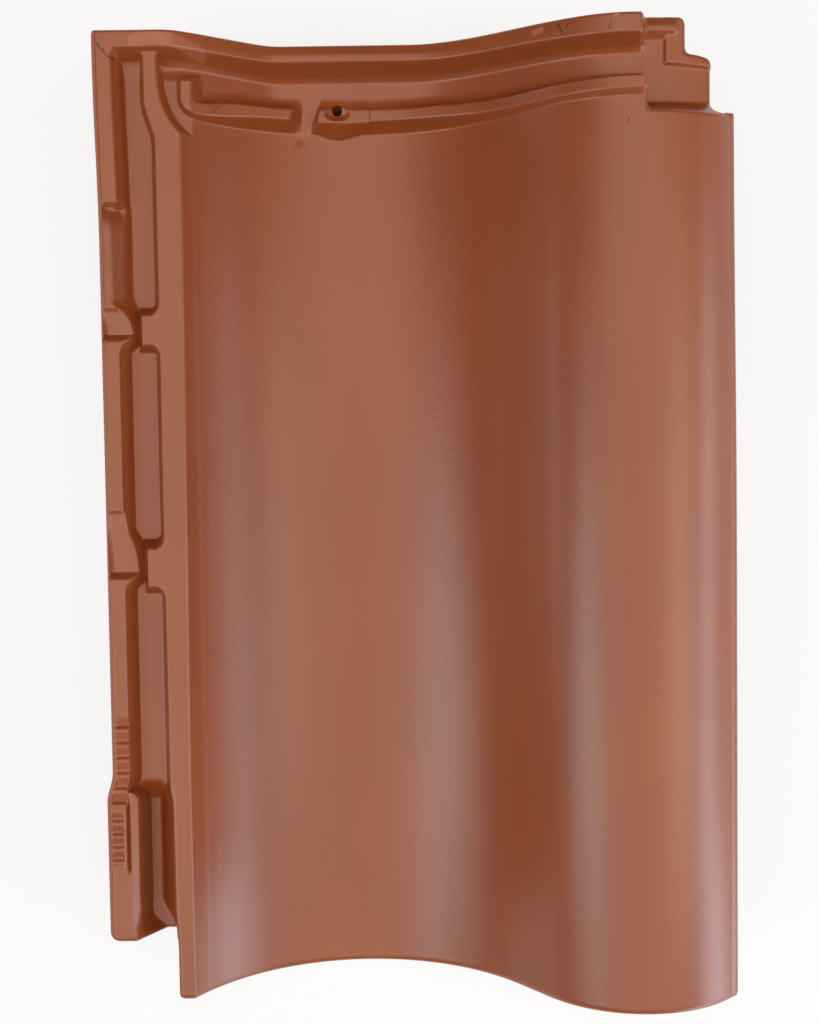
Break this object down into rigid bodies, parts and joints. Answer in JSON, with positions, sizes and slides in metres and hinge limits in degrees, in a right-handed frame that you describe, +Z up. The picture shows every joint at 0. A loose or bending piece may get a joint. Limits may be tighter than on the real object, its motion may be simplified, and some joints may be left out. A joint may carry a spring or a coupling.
{
  "type": "clay roof tile",
  "caption": "Interlocking clay pantile with a sunken pan, a raised roll, a channelled side lock and a ribbed head lock; sheds rain down a pitched roof",
  "frame": {"origin": "middle of the tile's box, on the floor that it lies on", "axes": "+X from the side lock towards the roll, +Y from the nose towards the head, +Z up; the tile lies on its nose and nibs with its head a little higher"},
  "size_m": [0.2744, 0.4228, 0.0987],
  "materials": {
    "engobed_clay": "satin red-brown engobe on fired clay"
  },
  "bodies": {
    "root": {"roof_tile": "engobed_clay"}
  },
  "joints": []
}
